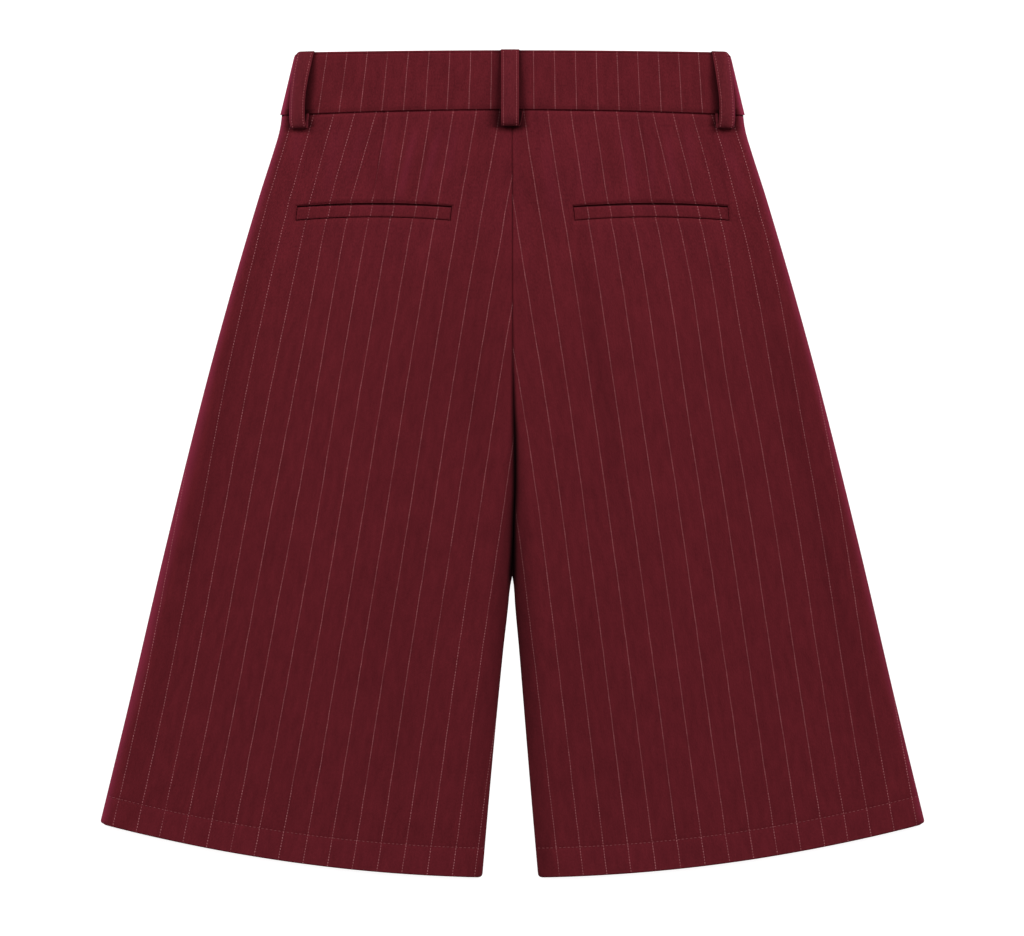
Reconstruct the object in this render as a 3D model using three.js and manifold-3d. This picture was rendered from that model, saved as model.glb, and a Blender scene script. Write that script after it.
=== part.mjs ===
// Tailored bermuda shorts, laid flat with the back uppermost.
// Millimetres. +Z is up from the surface they lie on, +Y points to the waist and +X to the wearer's right side.
// A place on the cloth is given by x, from the centre back seam, and by down, from the waist edge towards the hem.
import * as THREE from "three";
import { mergeVertices } from "three/addons/utils/BufferGeometryUtils.js";
import Module from "manifold-3d";

const wasm = await Module();
wasm.setup();

// Driving sizes of the cut
const LENGTH = 645; // waist edge to the lowest point of the hem
const BAND_HEIGHT = 46; // waistband, at centre back
const BAND_EDGE_DIP = 2; // the waist edge hangs this much lower at the sides
const BAND_SEAM_DIP = 4.5; // the waist seam hangs this much lower at the sides
const BAND_CORNER = 4; // rounding of the waistband's top corners
const HEM_RISE = 42; // the hem is this much higher at the side seam than at the inseam
const HEM_HALF = 321; // from the centre line to the hem's outer corner
const HEM_DEPTH = 23; // turned-up hem
const CROTCH = 409; // waist edge to where the front panels part
const WAIST_HALF = 180; // half the laid width, at the waist seam

// Thicknesses and clearances
const CLOTH = 1.6;
const HEM_CLOTH = 2.1; // the hem lies double
const BAND_CLOTH = 2.2;
const SEAM_GAP = 0.3;
const LAYER_GAP = 0.4; // between the front and the back where they touch
const LOFT = 1.6; // how far the back stands clear of the front, folds apart
const EDGE_EASE = 0.8; // the front's lower edges turn in by this much

// Belt loops
const LOOP_WIDTH = 14;
const LOOP_LENGTH = 60;
const LOOP_CLOTH = 1.4;
const LOOP_BOW = 2.4; // slack for a belt, from the loop's middle to its lower end
const LOOP_TAIL = 9; // end turned back under
const FRONT_LOOP_X = 92;
const SIDE_LOOP_TOP = 161.5; // middle of a side loop at the waist edge, from centre back
const SIDE_LOOP_LOW = 167; // and at its lower end

// Back pockets
const WELT_WIDTH = 120;
const WELT_HEIGHT = 11;
const WELT_X = 107.5; // middle of the welt, from centre back
const WELT_DOWN = 121.5; // top corners of the welt
const WELT_ARCH = 2.6; // its middle is this much higher
const WELT_LEAN = 0.11; // its ends slant outwards by this share
const MOUTH = 1.1; // pocket mouth, above the welt
const WELT_PROUD = 0.25;
const DART_TOP_X = 100.2; // the dart runs from here at the waist seam to the welt
const DART_LOW_X = 108.2;
const DART_WIDTH = 1.4;
const DART_DEPTH = 0.7;

// Half the laid width of the legs, from the centre line to the side edge.
const SIDE_LINE = [
  { down: 46, half: 179.3 },
  { down: 62, half: 181.4 },
  { down: 78, half: 186.0 },
  { down: 117, half: 198.5 },
  { down: 195, half: 221.3 },
  { down: 273, half: 242.3 },
  { down: 390, half: 271.2 },
  { down: 507, half: 298.5 },
  { down: 602, half: 321.5 },
];

// Half the opening between the back panels: a closed seam, then the crease between the legs, then the leg gap.
const BACK_INNER_LINE = [
  { down: 285, half: 0.15 },
  { down: 325, half: 0.5 },
  { down: 380, half: 1.3 },
  { down: 409, half: 1.9 },
  { down: 430, half: 3.1 },
  { down: 468, half: 7.1 },
  { down: 546, half: 14.0 },
  { down: 645, half: 22.5 },
];

// The same for the front panels, whose seam stays closed down to the crotch.
const FRONT_INNER_LINE = [
  { down: 402, half: 0.15 },
  { down: 413, half: 1.0 },
  { down: 430, half: 3.1 },
  { down: 468, half: 7.1 },
  { down: 546, half: 14.0 },
  { down: 645, half: 22.5 },
];

// How the back rounds down at its inner edge: a shallow groove at the seam, a full roll at the crotch and below.
const CREASE = [
  { down: 46, width: 2.5, drop: 0.5 },
  { down: 230, width: 3.0, drop: 0.6 },
  { down: 310, width: 5.0, drop: 1.4 },
  { down: 400, width: 8.0, drop: 3.1 },
  { down: 645, width: 8.0, drop: 3.1 },
];
const SIDE_ROLL = 10; // width of the rounded side edges

// Soft folds across the back, each a trough (negative) or a ridge between two places.
const FOLDS = [
  { side: -1, topX: 36, topDown: 120, lowX: 60, lowDown: 300, height: -0.7, spread: 13 },
  { side: -1, topX: 150, topDown: 150, lowX: 205, lowDown: 420, height: 0.5, spread: 20 },
  { side: -1, topX: 120, topDown: 380, lowX: 150, lowDown: 640, height: -0.6, spread: 17 },
  { side: -1, topX: 215, topDown: 400, lowX: 262, lowDown: 625, height: -0.6, spread: 16 },
  { side: 1, topX: 44, topDown: 130, lowX: 88, lowDown: 400, height: -0.8, spread: 13 },
  { side: 1, topX: 160, topDown: 170, lowX: 190, lowDown: 380, height: 0.5, spread: 20 },
  { side: 1, topX: 96, topDown: 400, lowX: 118, lowDown: 640, height: -0.6, spread: 17 },
  { side: 1, topX: 200, topDown: 420, lowX: 238, lowDown: 630, height: -0.5, spread: 18 },
];
const CENTRE_LEAN = 1.6; // the leg gap stands this far towards the wearer's left at the hem

// Heights of the layers
const FRONT_LIFT = LOOP_CLOTH + SEAM_GAP; // the front loops carry the waist end of the front
const BAND_FOOT = FRONT_LIFT + BAND_CLOTH + LAYER_GAP; // underside of the back waistband
const BAND_TOP = BAND_FOOT + BAND_CLOTH;
const BACK_TOP = CLOTH + LAYER_GAP + LOFT + CLOTH;
const LOOP_RAISE = 0.6; // how far a back loop's lower end reaches above the waist edge's fold
const MIDDLE = (LENGTH - LOOP_RAISE) / 2; // the waist-to-hem middle lies at y 0
const LEG_SEAM = BAND_HEIGHT + SEAM_GAP;

const clothMaterial = (color) => new THREE.MeshStandardMaterial({ color, roughness: 0.85, metalness: 0 });
const SUITING = clothMaterial(0x5b1c23);
const BAND_SUITING = clothMaterial(0x62202a);

const lerp = THREE.MathUtils.lerp;
const smoothstep = THREE.MathUtils.smoothstep;
const steps = (count) => Array.from({ length: count + 1 }, (_, i) => i / count);
const yOf = (down) => MIDDLE - down;

// A smooth curve through one column of a table, by down.
function tableCurve(rows, column) {
  const places = rows.map((row) => row.down);
  const curve = new THREE.CubicInterpolant(places, rows.map((row) => row[column]), 1);
  return (down) => curve.evaluate(THREE.MathUtils.clamp(down, places[0], places.at(-1)))[0];
}

const sideHalf = tableCurve(SIDE_LINE, "half");
const backInner = tableCurve(BACK_INNER_LINE, "half");
const frontInner = tableCurve(FRONT_INNER_LINE, "half");
const creaseWidth = tableCurve(CREASE, "width");
const creaseDrop = tableCurve(CREASE, "drop");
const bandHalf = (down) => lerp(WAIST_HALF - 11, WAIST_HALF, down / BAND_HEIGHT);
const waistEdge = (x) => BAND_EDGE_DIP * (x / WAIST_HALF) ** 2;
const waistSeam = (x) => BAND_SEAM_DIP * (x / WAIST_HALF) ** 2;
const hemDown = (x) => LENGTH - HEM_RISE * (x / HEM_HALF) ** 2;
const centreX = (down) => -0.3 - CENTRE_LEAN * smoothstep(down, 100, LENGTH);
const frontLift = (down) => FRONT_LIFT * (1 - smoothstep(down, 55, 115));
const backFoot = (down) => frontLift(down) + CLOTH + LAYER_GAP; // height at which the back's edges meet the front

// Height that the folds add at a place on the back.
function foldHeight(x, down) {
  return FOLDS.reduce((height, fold) => {
    const along = (down - fold.topDown) / (fold.lowDown - fold.topDown);
    const middle = lerp(fold.topX, fold.lowX, along) * fold.side;
    const across = (x - middle) / fold.spread;
    const ends = smoothstep(along, -0.1, 0.25) * (1 - smoothstep(along, 0.75, 1.15));
    return height + fold.height * Math.exp(-across * across) * ends;
  }, 0);
}

const backTop = (x, down) => BACK_TOP + 0.3 * (1 - smoothstep(down, 60, 120)) + foldHeight(x, down);

// One layer of cloth across its width: the point on its outer and on its inner face, at a column.
// A column is a share of the flat stretch, or of a rolled edge's quarter turn at either end.
function acrossLayer(section, column) {
  const { from, to, top, wall } = section;
  if (column.part === "flat") {
    const x = lerp(from.x + from.width, to.x - to.width, column.share);
    return { outer: [x, top(x)], inner: [x, top(x) - wall] };
  }
  const edge = column.part === "from" ? from : to;
  const outward = column.part === "from" ? -1 : 1;
  const angle = (column.share * Math.PI) / 2;
  const turn = (Math.min(1, edge.drop / (1.8 * wall)) * Math.PI) / 2;
  const out = { x: edge.width * (1 - Math.sin(angle)), z: edge.drop * (1 - Math.cos(angle)) };
  const innerEnd = { x: wall * Math.sin(turn), z: wall * (1 - Math.cos(turn)) };
  const inX = innerEnd.x + (edge.width - innerEnd.x) * (1 - Math.sin(angle));
  const inZ = wall + (edge.drop - innerEnd.z) * (1 - Math.cos(angle));
  const outerX = edge.x - outward * out.x;
  const innerX = edge.x - outward * inX;
  const [outerZ, innerZ] = [top(outerX) - out.z, top(outerX) - inZ];
  return { outer: [outerX, outerZ], inner: [innerX, Math.max(innerZ, section.foot)] };
}

// Columns across a layer: rolled edge, flat stretch, rolled edge.
function layerColumns(fromSteps, flatSteps, toSteps) {
  const from = steps(fromSteps).slice(1).reverse();
  return [
    ...from.map((share) => ({ part: "from", share })),
    ...steps(flatSteps).map((share) => ({ part: "flat", share })),
    ...steps(toSteps).slice(1).map((share) => ({ part: "to", share })),
  ];
}

function geometryOf(corners, faces) {
  const geometry = new THREE.BufferGeometry();
  geometry.setAttribute("position", new THREE.Float32BufferAttribute(corners.flat(), 3));
  geometry.setIndex(faces);
  return facingOut(geometry);
}

// Turns a closed shape's faces round if they point inwards.
function facingOut(geometry) {
  const { position } = geometry.attributes;
  const index = geometry.index.array;
  const [a, b, c] = [new THREE.Vector3(), new THREE.Vector3(), new THREE.Vector3()];
  let volume = 0;
  for (let i = 0; i < index.length; i += 3) {
    a.fromBufferAttribute(position, index[i]);
    b.fromBufferAttribute(position, index[i + 1]);
    c.fromBufferAttribute(position, index[i + 2]);
    volume += a.dot(b.cross(c));
  }
  if (volume < 0) {
    for (let i = 0; i < index.length; i += 3) {
      [index[i + 1], index[i + 2]] = [index[i + 2], index[i + 1]];
    }
  }
  geometry.computeVertexNormals();
  return geometry;
}

// A closed wall between two sheets of points, rows by columns.
function wallGeometry(outer, inner) {
  const rows = outer.length;
  const columns = outer[0].length;
  const at = (layer, row, column) => (layer * rows + row) * columns + column;
  const faces = [];
  const quad = (a, b, c, d) => faces.push(a, b, c, a, c, d);
  for (let r = 0; r + 1 < rows; r++) {
    for (let c = 0; c + 1 < columns; c++) {
      quad(at(0, r, c), at(0, r + 1, c), at(0, r + 1, c + 1), at(0, r, c + 1));
      quad(at(1, r, c), at(1, r, c + 1), at(1, r + 1, c + 1), at(1, r + 1, c));
    }
    quad(at(0, r, 0), at(1, r, 0), at(1, r + 1, 0), at(0, r + 1, 0));
    quad(at(0, r + 1, columns - 1), at(1, r + 1, columns - 1), at(1, r, columns - 1), at(0, r, columns - 1));
  }
  for (let c = 0; c + 1 < columns; c++) {
    quad(at(0, 0, c + 1), at(1, 0, c + 1), at(1, 0, c), at(0, 0, c));
    quad(at(0, rows - 1, c), at(1, rows - 1, c), at(1, rows - 1, c + 1), at(0, rows - 1, c + 1));
  }
  return geometryOf([...outer.flat(), ...inner.flat()], faces);
}

// A closed shape through stations that are copies of one outline, with its ends capped.
function stationsGeometry(outline, stations) {
  const count = outline.length;
  const faces = [];
  for (let s = 0; s + 1 < stations.length; s++) {
    for (let i = 0; i < count; i++) {
      const [a, b] = [s * count + i, s * count + ((i + 1) % count)];
      faces.push(a, b, b + count, a, b + count, a + count);
    }
  }
  const last = (stations.length - 1) * count;
  const caps = THREE.ShapeUtils.triangulateShape(outline.map(([x, y]) => new THREE.Vector2(x, y)), []);
  const forward = !THREE.ShapeUtils.isClockWise(outline.map(([x, y]) => new THREE.Vector2(x, y)));
  for (const [a, b, c] of caps) {
    faces.push(...(forward ? [a, c, b] : [a, b, c]));
    faces.push(...(forward ? [last + a, last + b, last + c] : [last + a, last + c, last + b]));
  }
  return geometryOf(stations.flat(), faces);
}

function solidOf(geometry) {
  const plain = geometry.clone();
  plain.deleteAttribute("normal");
  const merged = mergeVertices(plain, 1e-3);
  const mesh = { numProp: 3, vertProperties: merged.attributes.position.array };
  return new wasm.Manifold(new wasm.Mesh({ ...mesh, triVerts: new Uint32Array(merged.index.array) }));
}

function geometryOfSolid(solid) {
  const { vertProperties, triVerts } = solid.getMesh();
  const geometry = new THREE.BufferGeometry();
  geometry.setAttribute("position", new THREE.Float32BufferAttribute(vertProperties, 3));
  geometry.setIndex([...triVerts]);
  geometry.computeVertexNormals();
  return geometry;
}

// Rows of a leg panel: shares of the way from the waist seam to the hem line, then through the hem.
function legRows(bodyShares, hemShares) {
  return [
    ...bodyShares.map((share) => (x) => lerp(LEG_SEAM + waistSeam(x), hemDown(x) - HEM_DEPTH, share)),
    ...hemShares.map((share) => (x) => hemDown(x) - HEM_DEPTH * (1 - share)),
  ];
}

// Finds where a row's line crosses a place that is itself given by down.
function settle(row, xOf) {
  let down = row(100);
  for (let i = 0; i < 6; i++) down = row(xOf(down));
  return down;
}

// The section of a back panel at one height, from its side edge to its inner edge or the other way round.
function backSection(side, down, wall) {
  const sideEdge = { x: side * sideHalf(down), width: SIDE_ROLL };
  const innerEdge = { x: centreX(down) + side * backInner(down), width: creaseWidth(down) };
  sideEdge.drop = backTop(sideEdge.x, down) - backFoot(down);
  innerEdge.drop = Math.min(creaseDrop(down), backTop(innerEdge.x, down) - backFoot(down));
  const [from, to] = side < 0 ? [sideEdge, innerEdge] : [innerEdge, sideEdge];
  return { from, to, wall, foot: backFoot(down), top: (x) => backTop(x, down) };
}

// A back panel as a wall, before its pocket opening and dart are cut.
function backWall(side) {
  const columns = side < 0 ? layerColumns(4, 13, 3) : layerColumns(3, 13, 4);
  const rows = legRows(steps(26), [0.12, 1]);
  const outer = [];
  const inner = [];
  rows.forEach((row, number) => {
    const wall = number > 26 ? HEM_CLOTH : CLOTH;
    const points = columns.map((column) => {
      const down = settle(row, (d) => acrossLayer(backSection(side, d, wall), column).outer[0]);
      const { outer: out, inner: into } = acrossLayer(backSection(side, down, wall), column);
      return [
        [out[0], yOf(down), out[1]],
        [into[0], yOf(down), into[1]],
      ];
    });
    outer.push(points.map((pair) => pair[0]));
    inner.push(points.map((pair) => pair[1]));
  });
  return wallGeometry(outer, inner);
}

// A patch of cloth on the back, from across and below the welt's top middle, between two heights off the panel.
function weltPatch(side, { across, below, high, low }) {
  const sheet = (height) =>
    steps(3).map((v) =>
      steps(12).map((u) => {
        const a = lerp(-across, across, u);
        const b = lerp(below[0], below[1], v);
        const down = WELT_DOWN - WELT_ARCH * (1 - (a / (WELT_WIDTH / 2)) ** 2) + b;
        const x = side * (WELT_X + a + WELT_LEAN * b);
        return [x, yOf(down), backTop(x, down) + height];
      }),
    );
  return wallGeometry(sheet(high), sheet(low));
}

function welt(side) {
  return weltPatch(side, { across: WELT_WIDTH / 2, below: [MOUTH, WELT_HEIGHT], high: WELT_PROUD, low: -CLOTH });
}

function weltOpening(side) {
  const across = WELT_WIDTH / 2 + SEAM_GAP;
  return weltPatch(side, { across, below: [0, WELT_HEIGHT + SEAM_GAP], high: 4, low: -2.4 });
}

// The dart's stitched-in crease, as the narrow wedge that it takes out of the panel's face.
function dartCut(side) {
  const stations = steps(8).map((share) => {
    const down = lerp(LEG_SEAM - 3, WELT_DOWN - WELT_ARCH - 2, share);
    const x = side * lerp(DART_TOP_X, DART_LOW_X, share);
    const half = lerp(DART_WIDTH, DART_WIDTH / 3, share) / 2;
    const top = backTop(x, down);
    return [
      [x - half, yOf(down), top + 0.5],
      [x, yOf(down), top - lerp(DART_DEPTH, DART_DEPTH / 3, share)],
      [x + half, yOf(down), top + 0.5],
    ];
  });
  return stationsGeometry([[-1, 0], [0, -1], [1, 0]], stations);
}

function backPanel(side) {
  const panel = solidOf(backWall(side));
  const cut = panel.subtract(solidOf(weltOpening(side))).subtract(solidOf(dartCut(side)));
  return geometryOfSolid(cut);
}

// A front panel, pressed flat on the surface under the back.
function frontPanel(side) {
  const rows = legRows([0, 0.02, 0.05, 0.09, 0.14, 0.3, 0.45, 0.6, 0.65, 0.7, 0.8, 0.9, 1], [0.12, 1]);
  const upper = [];
  const lower = [];
  const edgeShares = [0, ...steps(8).map((share) => lerp(0.01, 0.99, share)), 1];
  rows.forEach((row, number) => {
    const wall = CLOTH;
    const line = edgeShares.map((share) => {
      const xOf = (d) => lerp(centreX(d) + side * frontInner(d), side * sideHalf(d), share);
      const down = settle(row, xOf);
      const x = xOf(down);
      const ease = share === 0 ? side * EDGE_EASE : share === 1 ? -side * EDGE_EASE : 0;
      const closed = share === 0 && down < CROTCH - 20;
      const end = number === rows.length - 1 ? EDGE_EASE : 0;
      return {
        top: [x, yOf(down), frontLift(down) + wall],
        bottom: [x + (closed ? 0 : ease), yOf(down - end), frontLift(down)],
      };
    });
    upper.push(line.map((point) => point.top));
    lower.push(line.map((point) => point.bottom));
  });
  return wallGeometry(upper, lower);
}

// Half the width of the waistband at a height, with its top corners rounded off.
function bandEdge(down, x) {
  const below = Math.max(0, down - waistEdge(x));
  const corner = below < BAND_CORNER ? BAND_CORNER - Math.sqrt(BAND_CORNER ** 2 - (BAND_CORNER - below) ** 2) : 0;
  return bandHalf(down) - corner;
}

const BAND_ROWS = [
  { below: 0, fall: 1.0 },
  { below: 0.4, fall: 0.4 },
  { below: 1.4, fall: 0 },
  { below: 4.5, fall: 0 },
  { below: 18, fall: 0 },
  { below: 32, fall: 0 },
  { below: BAND_HEIGHT, fall: 0 },
];
const bandDown = (x, below) => lerp(waistEdge(x), BAND_HEIGHT + waistSeam(x), below / BAND_HEIGHT);

// The back waistband, from side edge to side edge, with a fold along its top.
function backBand() {
  const columns = layerColumns(4, 22, 4);
  const outer = [];
  const inner = [];
  for (const { below, fall } of BAND_ROWS) {
    const row = (x) => bandDown(x, below);
    const section = (down) => {
      const half = bandEdge(down, WAIST_HALF);
      const edge = { width: SIDE_ROLL, drop: BAND_TOP - fall - BAND_FOOT };
      const [from, to] = [{ x: -half, ...edge }, { x: half, ...edge }];
      return { from, to, wall: BAND_CLOTH - fall, foot: BAND_FOOT, top: () => BAND_TOP - fall };
    };
    const points = columns.map((column) => {
      const down = settle(row, (d) => acrossLayer(section(d), column).outer[0]);
      const { outer: out, inner: into } = acrossLayer(section(down), column);
      return [
        [out[0], yOf(down), out[1]],
        [into[0], yOf(down), into[1]],
      ];
    });
    outer.push(points.map((pair) => pair[0]));
    inner.push(points.map((pair) => pair[1]));
  }
  return wallGeometry(outer, inner);
}

// Half of the front waistband, from centre front to the side.
function frontBand(side) {
  const upper = [];
  const lower = [];
  for (const { below, fall } of BAND_ROWS) {
    const line = [0, ...steps(8).map((share) => lerp(0.01, 0.985, share)), 1].map((share) => {
      const xOf = (d) => side * lerp(SEAM_GAP / 2, bandEdge(d, WAIST_HALF), share) + centreX(0) * (1 - share);
      const down = settle((x) => bandDown(x, below), xOf);
      const x = xOf(down);
      const ease = share === 1 ? EDGE_EASE : 0;
      return {
        top: [x, yOf(down), FRONT_LIFT + BAND_CLOTH],
        bottom: [x - side * ease, yOf(down), FRONT_LIFT + fall],
      };
    });
    upper.push(line.map((point) => point.top));
    lower.push(line.map((point) => point.bottom));
  }
  return wallGeometry(upper, lower);
}

// A point on the waistband's outer face, continued below it, with its outward direction.
function bandPoint(across, down) {
  const half = bandEdge(Math.max(down, BAND_CORNER * 2), WAIST_HALF);
  const drop = BAND_TOP - BAND_FOOT;
  const flat = half - SIDE_ROLL;
  const beyond = Math.abs(across) - flat;
  if (beyond <= 0) return { point: [across, BAND_TOP], normal: [0, 1] };
  const side = Math.sign(across);
  const angle = Math.min(1, beyond / (SIDE_ROLL * 1.12)) * (Math.PI / 2);
  const normal = new THREE.Vector2(Math.sin(angle) / SIDE_ROLL, Math.cos(angle) / drop).normalize();
  return {
    point: [side * (flat + SIDE_ROLL * Math.sin(angle)), BAND_TOP - drop * (1 - Math.cos(angle))],
    normal: [side * normal.x, normal.y],
  };
}

// A belt loop's outline along its length: place below the waist edge, and height off the waistband's face.
function loopOutline() {
  const under = SEAM_GAP;
  const end = LOOP_LENGTH - LOOP_RAISE;
  const panelFace = BACK_TOP + 0.3 - BAND_TOP + SEAM_GAP;
  const bow = (share) => under + LOOP_BOW * Math.sin((Math.PI / 2) * Math.min(1, share / 0.75));
  const strap = [0, 0.12, 0.3, 0.5, 0.7, 1];
  const top = strap.map((share) => [lerp(1.2, end - 2.6, share), bow(share) + LOOP_CLOTH]);
  const low = strap.map((share) => [lerp(1.2, end - LOOP_TAIL, share), bow(share * 0.88)]).reverse();
  return [
    [-LOOP_RAISE, under],
    [-LOOP_RAISE, under + LOOP_CLOTH * 0.7],
    ...top,
    [end - 1.2, bow(1) + LOOP_CLOTH * 0.7],
    [end - 0.3, bow(1)],
    [end, lerp(bow(1), panelFace, 0.5)],
    [end - 0.6, panelFace + 0.5],
    [end - 2, panelFace],
    [end - LOOP_TAIL, panelFace],
    [end - LOOP_TAIL, panelFace + LOOP_CLOTH * 0.85],
    ...low,
  ];
}

// A back belt loop over the waistband, its middle at a place across the top edge and one across the bottom.
function backLoop(topAcross, lowAcross) {
  const outline = loopOutline();
  const stations = steps(5).map((share) =>
    outline.map(([below, height]) => {
      const middle = lerp(topAcross, lowAcross, below / LOOP_LENGTH);
      const across = middle + lerp(-LOOP_WIDTH / 2, LOOP_WIDTH / 2, share);
      const { point, normal } = bandPoint(across, below);
      const down = below + waistEdge(across);
      return [point[0] + normal[0] * height, yOf(down), point[1] + normal[1] * height];
    }),
  );
  return stationsGeometry(outline, stations);
}

// A front belt loop, pressed flat between the surface and the front.
function frontLoop(side) {
  const x = side * FRONT_LOOP_X;
  const shape = new THREE.Shape();
  const [half, ease] = [LOOP_WIDTH / 2, 1];
  const top = yOf(waistEdge(x));
  const end = yOf(waistEdge(x) + LOOP_LENGTH - LOOP_RAISE);
  shape.moveTo(x - half, top);
  shape.lineTo(x - half, end + ease);
  shape.absarc(x - half + ease, end + ease, ease, Math.PI, Math.PI * 1.5);
  shape.absarc(x + half - ease, end + ease, ease, Math.PI * 1.5, Math.PI * 2);
  shape.lineTo(x + half, top);
  shape.closePath();
  const geometry = new THREE.ExtrudeGeometry(shape, { depth: LOOP_CLOTH, bevelEnabled: false, curveSegments: 3 });
  return geometry;
}

function mesh(name, geometry, material) {
  const made = new THREE.Mesh(geometry, material);
  made.name = name;
  return made;
}

const SIDES = [
  { word: "left", side: -1 },
  { word: "right", side: 1 },
];
const shorts = new THREE.Group();

const legs = new THREE.Group();
for (const { word, side } of SIDES) {
  legs.add(mesh(`front_${word}`, frontPanel(side), SUITING));
  legs.add(mesh(`back_${word}`, backPanel(side), SUITING));
  legs.add(mesh(`welt_${word}`, welt(side), SUITING));
}

const waist = new THREE.Group();
waist.add(mesh("waistband_back", backBand(), BAND_SUITING));
waist.add(mesh("belt_loop_back_centre", backLoop(-1, -1), BAND_SUITING));
for (const { word, side } of SIDES) {
  waist.add(mesh(`waistband_front_${word}`, frontBand(side), BAND_SUITING));
  waist.add(mesh(`belt_loop_back_${word}`, backLoop(side * SIDE_LOOP_TOP, side * SIDE_LOOP_LOW), BAND_SUITING));
  waist.add(mesh(`belt_loop_front_${word}`, frontLoop(side), BAND_SUITING));
}

shorts.add(legs, waist);
export default shorts;
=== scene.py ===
"""Tailored bermuda shorts in pinstripe suiting, laid flat with the back uppermost.

Lengths below are millimetres on the laid shorts. A place on the cloth is given by x, from the centre back
seam towards the wearer's right, and by down, from the waist edge towards the hem.
"""

import math
from collections import namedtuple

import bmesh
import bpy
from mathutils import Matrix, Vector, noise


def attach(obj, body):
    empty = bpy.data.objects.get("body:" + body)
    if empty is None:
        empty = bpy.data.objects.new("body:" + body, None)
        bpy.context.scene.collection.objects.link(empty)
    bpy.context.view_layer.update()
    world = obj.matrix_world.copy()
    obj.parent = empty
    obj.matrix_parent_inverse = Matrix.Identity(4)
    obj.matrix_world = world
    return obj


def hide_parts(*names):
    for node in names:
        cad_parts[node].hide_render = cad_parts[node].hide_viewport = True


bl_info = {
    "name": "Laid Bermuda Shorts",
    "version": (1, 0, 0),
    "blender": (4, 5, 0),
    "location": "3D Viewport > Sidebar > Shorts",
    "description": "Models tailored pinstripe bermuda shorts laid flat on a table",
    "category": "Object",
}

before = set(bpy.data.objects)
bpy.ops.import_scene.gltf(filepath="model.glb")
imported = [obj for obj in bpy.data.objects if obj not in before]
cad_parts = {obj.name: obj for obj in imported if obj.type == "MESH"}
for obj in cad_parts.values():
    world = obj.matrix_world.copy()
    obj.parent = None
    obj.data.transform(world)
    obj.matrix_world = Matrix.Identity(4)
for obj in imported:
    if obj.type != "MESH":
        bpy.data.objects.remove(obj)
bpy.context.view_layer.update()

MM = 0.001
PICTURE_WIDTH = 1024  # pixels
PIXEL = 0.78  # how much of the cloth one pixel of the picture shows
BODY = "root"

# The cut, as in the solids
LENGTH = 645
BAND_HEIGHT = 46
BAND_EDGE_DIP = 2
BAND_SEAM_DIP = 4.5
BAND_CORNER = 4
HEM_RISE = 42
HEM_HALF = 321
HEM_DEPTH = 23
HEM_CORNER = 3
CROTCH = 409
WAIST_HALF = 180
SEAM_GAP = 0.3
LOOP_WIDTH = 14
LOOP_LENGTH = 60
LOOP_RAISE = 0.6
FRONT_LOOP_X = 92
WELT_X = 107.5
WELT_WIDTH = 120
WELT_HEIGHT = 11
WELT_DOWN = 121.5
WELT_ARCH = 2.6
WELT_LEAN = 0.11
MOUTH = 1.9
DART_SHARE = 0.512  # the dart runs at this share of the way across the welt

# Heights above the table
CLOTH = 0.7
FRONT_LIFT = 1.7
BAND_FOOT = 4.3
BAND_TOP = 6.5
BACK_TOP = 5.2
FRONT_EDGE = 1.7  # the front's edges turn up this far, to meet the back's
FOOT_GAP = 0.3
MIDDLE = (LENGTH - LOOP_RAISE) / 2

SIDE_LINE = [
    (46, 179.3), (62, 181.4), (78, 186.0), (117, 198.5), (195, 221.3),
    (273, 242.3), (390, 271.2), (507, 298.5), (602, 321.5),
]
BACK_INNER_LINE = [
    (285, 0), (325, 0.15), (366, 0.35), (392, 0.9), (409, 1.4),
    (430, 2.4), (468, 6.2), (546, 13.2), (645, 21.8),
]
FRONT_INNER_LINE = [(411, 0), (414, 0.8), (419, 1.5), (430, 2.5), (468, 6.3), (546, 13.3), (645, 21.9)]
CENTRE_LINE = [
    (46, -0.2), (120, -0.1), (222, 0.2), (253, 0.5), (284, 1.25), (305, 1.9), (330, 2.0), (347, 1.8),
    (362, 1.2), (378, 0.8), (394, 0.35), (411, -0.2), (429, -0.6), (507, -1.4), (580, -1.8), (645, -1.8),
]
CREASE_WIDTH = [(46, 1.5), (230, 2.0), (310, 4.5), (400, 8.0), (645, 8.0)]
CREASE_DROP = [(46, 1.4), (230, 1.6), (310, 2.1), (400, 3.1), (645, 3.1)]

SIDE_LOOP_LINE = [(0, 161.5), (10, 163.6), (24, 166.0), (39, 167.6), (53, 167.6), (60, 166.4)]

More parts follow.
